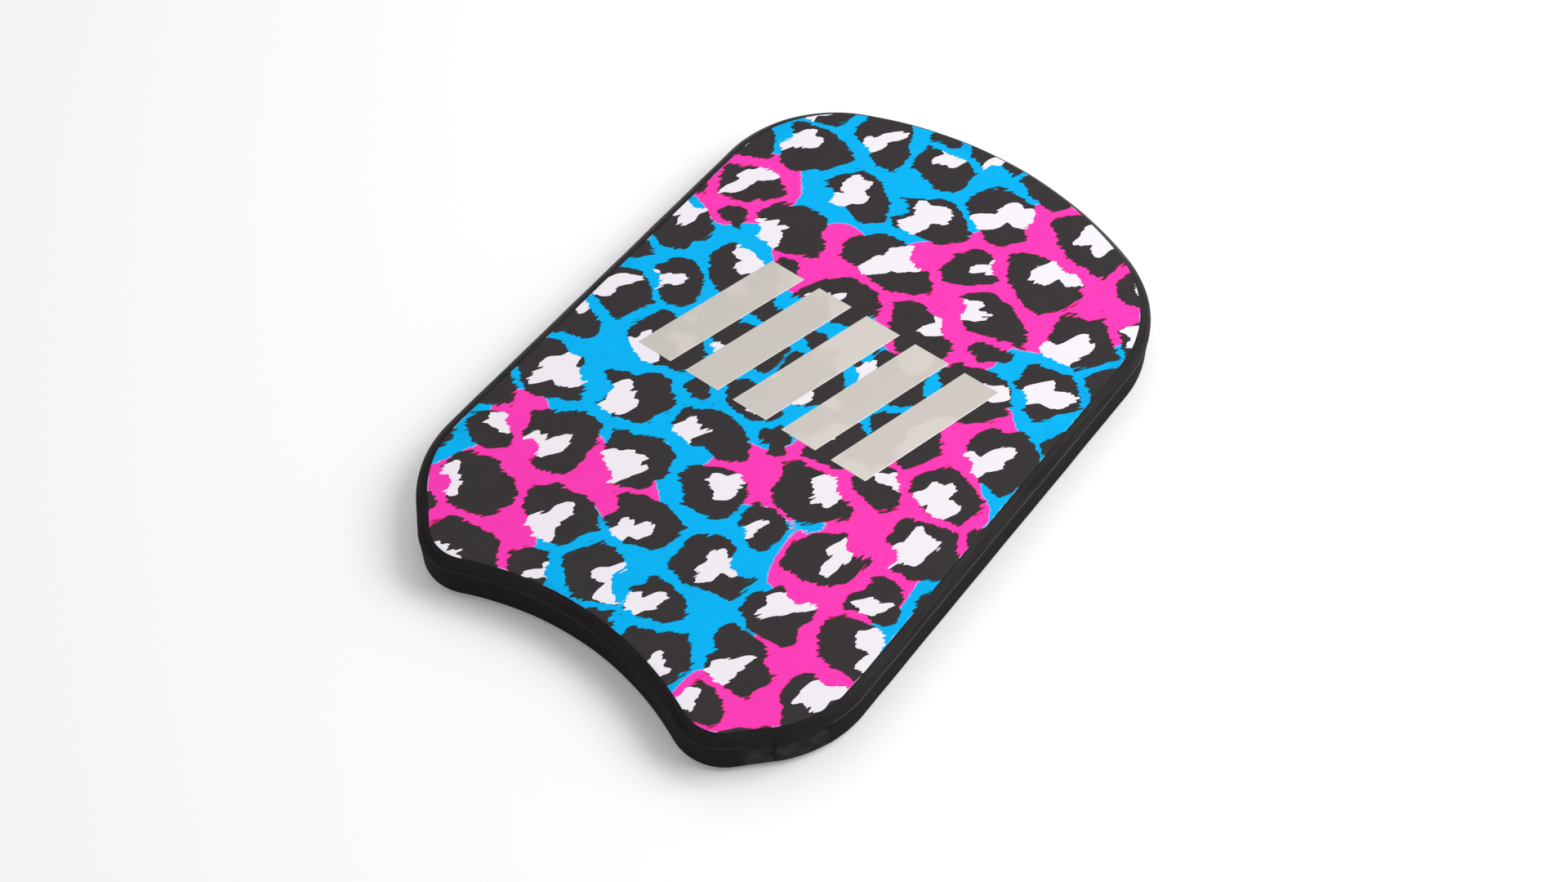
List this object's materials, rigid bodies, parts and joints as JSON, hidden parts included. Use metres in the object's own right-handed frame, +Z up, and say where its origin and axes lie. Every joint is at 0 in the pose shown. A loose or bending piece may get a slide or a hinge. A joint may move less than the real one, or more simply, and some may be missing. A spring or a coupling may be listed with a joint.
{
  "type": "kickboard",
  "caption": "Flat swimming kickboard with a rounded nose, straight sides and a notched tail: a foam core faced with printed sheets and edged by a bevelled band.",
  "frame": {"origin": "middle of the underside, on the surface that the board lies on", "axes": "+Y towards the rounded nose, +X to the right seen from above, +Z up through the printed top"},
  "size_m": [0.294, 0.435, 0.0312],
  "materials": {
    "core_foam": "closed-cell foam, cut",
    "edge_rubber": "matte moulded closed-cell rubber",
    "underside_print": "matte printed sheet",
    "top_print": "matte printed sheet",
    "silver_foil": "satin hot-pressed foil"
  },
  "bodies": {
    "root": {"foam_core": "core_foam", "edge_band": "edge_rubber", "bottom_sheet": "underside_print", "top_sheet": "top_print", "foil_bar_1": "silver_foil", "foil_bar_2": "silver_foil", "foil_bar_3": "silver_foil", "foil_bar_4": "silver_foil", "foil_bar_5": "silver_foil"}
  },
  "joints": []
}
